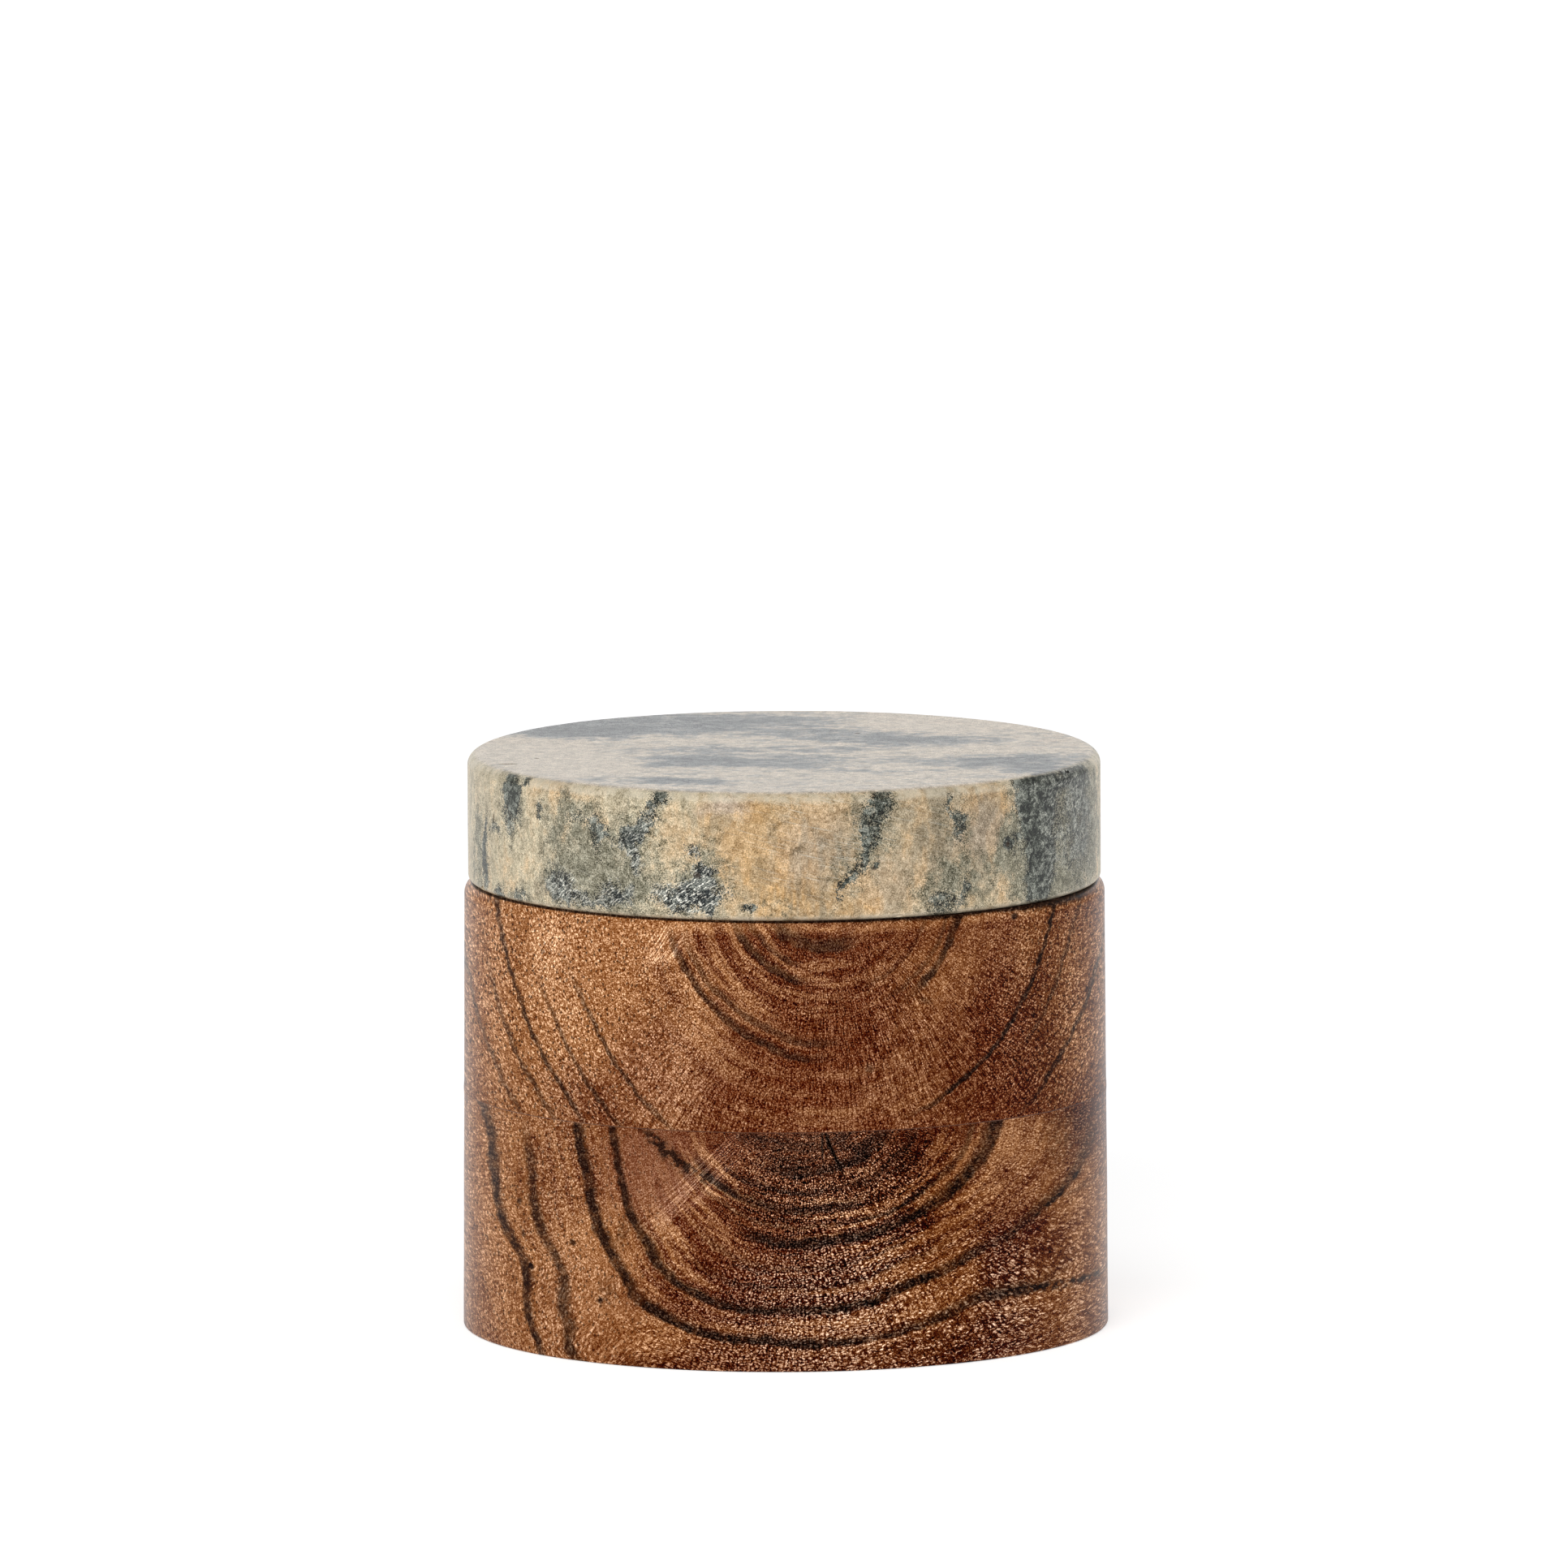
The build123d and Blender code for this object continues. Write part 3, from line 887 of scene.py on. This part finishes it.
# Thin grey-green clouds, where the dark mineral is only dusted through the pale one
thin_cloud = recipe.total([
    side_spots(recipe, side, [
        (-33.5, 85, 7.5, 7.0, 0, 0.85), (-31, 77, 10, 4.5, 0, 0.8), (-14, 81.0, 4.5, 5.0, 0, 0.7),
        (-21.5, 89, 4.0, 5.5, 15, 0.3), (-24, 82, 4.5, 7.0, 0, 0.6), (13.5, 86, 3.6, 9.0, 18, 0.6),
        (26, 77, 6, 5, 0, 0.6), (47.5, 84, 12.0, 12, 0, 1.3), (40.0, 78, 8, 7, 0, 0.9),
        (39.5, 88, 6, 6, 0, 0.8), (36, 83, 3, 4, 0, 0.6), (-49.5, 80, 3, 8, 0, 0.7),
        (-44, 88, 4, 6, 0, 0.6), (30, 79, 6, 5, 0, 0.3), (-14, 76, 7, 4, 0, 0.5),
        (-2, 75, 3, 2, 0, 0.4), (-43, 74.5, 5, 2, 0, 0.6), (28, 88, 3, 4, 0, 0.5),
    ]),
    recipe.product(recipe.rise(cloud, 0.48, 0.60), at_back, 0.9),
    recipe.rise(speck, 0.35, 0.65, 0.20, -0.20),
    recipe.rise(cloud_small, 0.35, 0.65, 0.22, -0.22),
])
off_top = recipe.calc("SUBTRACT", 1.0, on_top)
thin_cloud = recipe.product(recipe.rise(thin_cloud, 0.15, 0.90, 0.0, 0.92), off_top)
body = recipe.layer(thin_cloud, body, cloud_stone)

# Grey clouds on the honed top
stretched = recipe.noise(recipe.vector("MULTIPLY", place, (0.7, 1.0, 1.0)), 2.8, 5.0, 0.7)
top_cloud = recipe.total([
    top_spots(recipe, drifting, [
        (-20, 33, 26, 12, 0, 0.95), (-34, 22, 10, 8, 0, 0.7), (14, 16, 15, 8, -20, 0.8),
        (-4, -13, 19, 8, 0, 0.75), (36, -13, 13, 7, 10, 0.95), (-18, -36, 10, 4.0, -14, 0.9),
        (-17, -8, 7, 12, 0, 0.35), (2, 40, 14, 6, 0, 0.3), (24, 12, 10, 5, 0, 0.4), (-2, 2, 18, 4, 0, 0.5),
        (41, -24, 6, 5, 0, 0.9), (-33, -16, 9, 10, -20, -0.6), (33, 0, 9, 4, 0, -0.4),
        (18, -19, 8, 4, 0, -0.35), (16, -24, 12, 3, 0, 0.3), (28, 36, 14, 10, 0, -0.8),
        (-42, 2, 8, 14, 0, -0.6),
    ]),
    recipe.rise(stretched, 0.36, 0.64, -0.22, 0.50),
    recipe.rise(speck, 0.35, 0.65, -0.15, 0.15),
])
top_core = recipe.calc("ADD", top_cloud, recipe.rise(speck, 0.35, 0.65, 0.3, -0.3))
top_core = recipe.product(recipe.rise(top_core, 0.80, 1.25, 0.0, 0.45), on_top)
top_cloud = recipe.product(recipe.rise(top_cloud, 0.05, 0.95), on_top)
body = recipe.layer(top_cloud, body, top_grey)
body = recipe.layer(top_core, body, dark_blue)

# Dark clusters and veins
dark_part = recipe.total([
    side_spots(recipe, side, [
        (40.9, 87.5, 5.2, 9.0, 0, 1.45), (41.4, 77.5, 4.0, 5.0, 6, 1.05), (47.6, 85.0, 7.0, 10.0, 0, 0.80),
        (-44.2, 90.0, 2.6, 5.2, 0, 1.15), (-48.4, 80.0, 1.6, 7.0, 4, 1.0), (-46.6, 84.0, 2.2, 1.2, 30, 0.7),
        (-41.6, 92.4, 1.0, 1.0, 0, 0.9), (-39.0, 88.9, 1.0, 1.1, 0, 0.8), (-30.2, 86.3, 1.7, 4.2, 0, 0.85),
        (-33.5, 88.5, 2.2, 1.2, 0, 0.5),
        (-36.3, 76.8, 2.8, 3.4, 0, 0.85), (-28.0, 75.8, 2.7, 2.4, 0, 0.75), (-32.5, 74.6, 3.6, 1.2, 0, 0.75),
        (-45.7, 74.0, 1.9, 1.2, 0, 0.9), (-42.2, 74.2, 1.9, 1.0, 0, 0.7),
        (-20.0, 92.2, 1.7, 2.2, 0, 0.8), (-21.8, 88.0, 1.4, 3.4, 25, 0.72), (-24.4, 85.2, 3.2, 1.2, -18, 0.9),
        (-28.4, 85.4, 1.2, 0.9, 0, 0.8), (-23.4, 82.6, 1.4, 2.7, -10, 0.85), (-25.2, 77.0, 2.2, 2.0, 0, 0.75),
        (-15.0, 77.0, 5.6, 2.8, 0, 1.1), (-12.9, 80.4, 1.9, 2.2, 0, 1.1), (-15.0, 84.4, 1.0, 1.1, 0, 0.8),
        (-11.2, 75.0, 1.1, 1.6, 0, 0.9), (-5.0, 74.2, 1.1, 1.2, 0, 0.9),
        (15.8, 92.0, 2.1, 2.8, 10, 0.85), (13.6, 87.6, 1.5, 3.6, 8, 0.85), (11.6, 82.6, 1.1, 3.6, 22, 0.75),
        (9.4, 78.4, 0.5, 3.2, 20, 0.7), (14.4, 81.2, 0.8, 0.7, 0, 1.0), (28.1, 88.0, 1.0, 2.3, 0, 0.95),
        (29.2, 77.2, 1.1, 2.2, 0, 0.9), (25.6, 74.6, 3.0, 1.7, 0, 0.75), (36.2, 83.3, 1.0, 1.4, 0, 0.9),
        (27.0, 91.0, 0.6, 1.4, 0, 0.7), (42.5, 92.4, 6.5, 2.2, 0, 0.9), (47.5, 92.0, 4.0, 2.5, 0, 0.5),
    ]),
    recipe.product(recipe.rise(cloud, 0.53, 0.64), at_back),
    recipe.rise(speck, 0.35, 0.65, 0.26, -0.26),
    recipe.rise(cloud_small, 0.35, 0.65, -0.15, 0.15),
])
dark_part = recipe.product(recipe.rise(dark_part, 0.28, 0.78), off_top)
white_part = side_spots(recipe, unrolled, [
    (-15, 78, 8, 7, 0, 1.0), (-32, 77, 8, 4, 0, 0.8), (-24, 85, 5, 8, 0, 0.5), (46, 84, 7, 12, 0, 0.45),
])
dark_stone = recipe.layer(recipe.calc("MINIMUM", white_part, 0.8), dark_green, dark_blue)
mixed = recipe.calc("MULTIPLY_ADD", grain, 0.35, recipe.rise(cloud_small, 0.4, 0.6, -0.22, 0.24))
dark_stone = recipe.layer(mixed, dark_stone, dark_lift)
flecks = recipe.turned(unrolled, (0.0, -35.0, 0.0))
flecks = recipe.noise(recipe.vector("MULTIPLY", flecks, (0.9, 1.2, 2.8)), 0.75, 1.0, 0.5)
flecks = recipe.product(recipe.rise(flecks, 0.52, 0.66), white_part)
dark_stone = recipe.layer(flecks, dark_stone, crystal_white)
body = recipe.layer(dark_part, body, dark_stone)

# Every grain is a little lighter or darker than the next, most of all where the dark mineral is
sharpness = recipe.calc("MULTIPLY_ADD", recipe.calc("ADD", thin_cloud, dark_part), 0.45, 0.86)
shade = recipe.swing(speck, sharpness)
grains = recipe.swing(grain, recipe.product(sharpness, 0.16))
mottling = recipe.swing(cloud_small, 0.36)
body = recipe.lift(body, recipe.total([shade, grains, mottling]), (1.0, 0.98, 0.94))

# Wear: both edges are rubbed pale and smooth, and fine sanding marks cross the sides
at_edge = recipe.calc("MAXIMUM", recipe.rise(z, 91.6, 92.6), recipe.rise(z, 74.0, 73.3))
uneven = recipe.rise(cloud_small, 0.35, 0.6, 0.10, 0.60)
pale_part = recipe.calc("MULTIPLY_ADD", dark_part, -0.95, 1.0)
body = recipe.layer(recipe.product(at_edge, off_top, uneven, pale_part), body, worn_edge)
sanding = recipe.turned(unrolled, (0.0, 14.0, 0.0))
sanding = recipe.noise(recipe.vector("MULTIPLY", sanding, (0.16, 0.3, 4.5)), 1.0, 1.0, 0.5)
sanding = recipe.rise(sanding, 0.58, 0.70, 0.0, 0.35)
sanded = side_spots(recipe, unrolled, [
    (4, 86, 12, 9, 0, 1.0), (-34, 76, 8, 5, 0, 0.6), (22, 88, 8, 6, 0, 0.5),
])
body = recipe.layer(recipe.product(sanding, sanded), body, crystal_white)
# The pits of the top and the side are painted dark: painted shade in them
pits = []
for middle, half_size, turn in top_pits + side_pits:
    middle = tuple(Vector(middle) * 1000)
    half_size = tuple(Vector(half_size) * 1000)
    pits.append(recipe.patch(place, middle, half_size, turn, 0.3))
body = recipe.layer(recipe.calc("MINIMUM", recipe.total(pits), 0.85), body, pit_shade_colour)
gloss = recipe.calc("MULTIPLY_ADD", dark_part, -0.04, recipe.rise(speck, 0.3, 0.7, 0.42, 0.30))
height = recipe.calc("MULTIPLY_ADD", cloud_small, 1.5, recipe.calc("MULTIPLY_ADD", grain, 0.5, speck))
recipe.fill(shader, {
    "Base Color": body, "Roughness": gloss, "Specular IOR Level": 0.28,
    "Normal": recipe.relief(height, 0.00005, 0.35),
})
stone.data.materials.append(material)
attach(stone, "lid")
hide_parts("lid_stone")

# Lid adhesive: the film of clear stone adhesive between the stone and the plug, a little yellowed.
# It shows only as a thin line in the shadow under the lid.
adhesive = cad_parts["lid_adhesive"]
material, shader, recipe, place = new_finish("yellowed_adhesive")
cloudy = recipe.noise(place, 3.0, 3.0, 0.6)
film = recipe.layer(recipe.rise(cloudy, 0.3, 0.7), colour(206, 190, 150), colour(176, 154, 112))
recipe.fill(shader, {"Base Color": film, "Roughness": recipe.rise(cloudy, 0.3, 0.7, 0.18, 0.32)})
adhesive.material_slots[0].material = material

# Lid plug: a disc turned from the same acacia and bonded under the stone. It centres the lid in the
# mouth, and the groove round it holds the sealing ring.
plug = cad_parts["lid_plug"]
plug.material_slots[0].material = board_finish(
    "acacia_lid_plug",
    heart=(-9.0, 0.0, 20.0), widths=(1.2, 1.2, 1.3), upright=1.0, waver=2.4,
    rings=[
        (40.5, 1.2, 0.6, 0.6, -180, 180), (43.6, 0.9, 0.5, 0.7, -180, 180), (46.2, 1.4, 0.6, 0.8, -180, 180),
        (49.5, 0.8, 0.5, 0.5, -180, 180), (53.0, 1.6, 0.7, 0.8, -180, 180), (57.5, 1.0, 0.5, 0.6, -180, 180),
    ],
    nudges=[], streaks=[], marks=[], stroke_turn=0, strokes=[],
    figures={
        "Tone": (0.42, [(20, 66, 18, 10, 0, -0.2), (-24, 66, 12, 10, 0, 0.2)]), "Red": (0.1, []),
        "Pale": (0.1, []), "Fine rings": (0.14, []), "Flecks": (1.0, []), "Rays": (0.2, []),
        "Rows": (0.2, []), "Pores": (0.5, []),
    },
)

# Sealing ring: one soft moulding of milky silicone, a band with three thin lips. It is stretched over
# the plug and snaps into its groove, and it picks up a little dust.
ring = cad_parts["sealing_ring"]
material, shader, recipe, place = new_finish("milky_silicone")
dust = recipe.noise(place, 0.35, 3.0, 0.7)
cloudy = recipe.noise(place, 6.0, 2.0, 0.5)
silicone = recipe.layer(recipe.rise(cloudy, 0.3, 0.7), colour(224, 224, 218), colour(212, 211, 203))
silicone = recipe.layer(recipe.rise(dust, 0.60, 0.74, 0.0, 0.35), silicone, colour(184, 178, 166))
recipe.fill(shader, {
    "Base Color": silicone, "Roughness": recipe.rise(dust, 0.35, 0.7, 0.38, 0.58),
    "Normal": recipe.relief(dust, 0.00001, 0.3), "Subsurface Weight": 0.3,
    "Subsurface Radius": (0.003, 0.003, 0.003), "Subsurface Scale": 0.5,
})
ring.material_slots[0].material = material
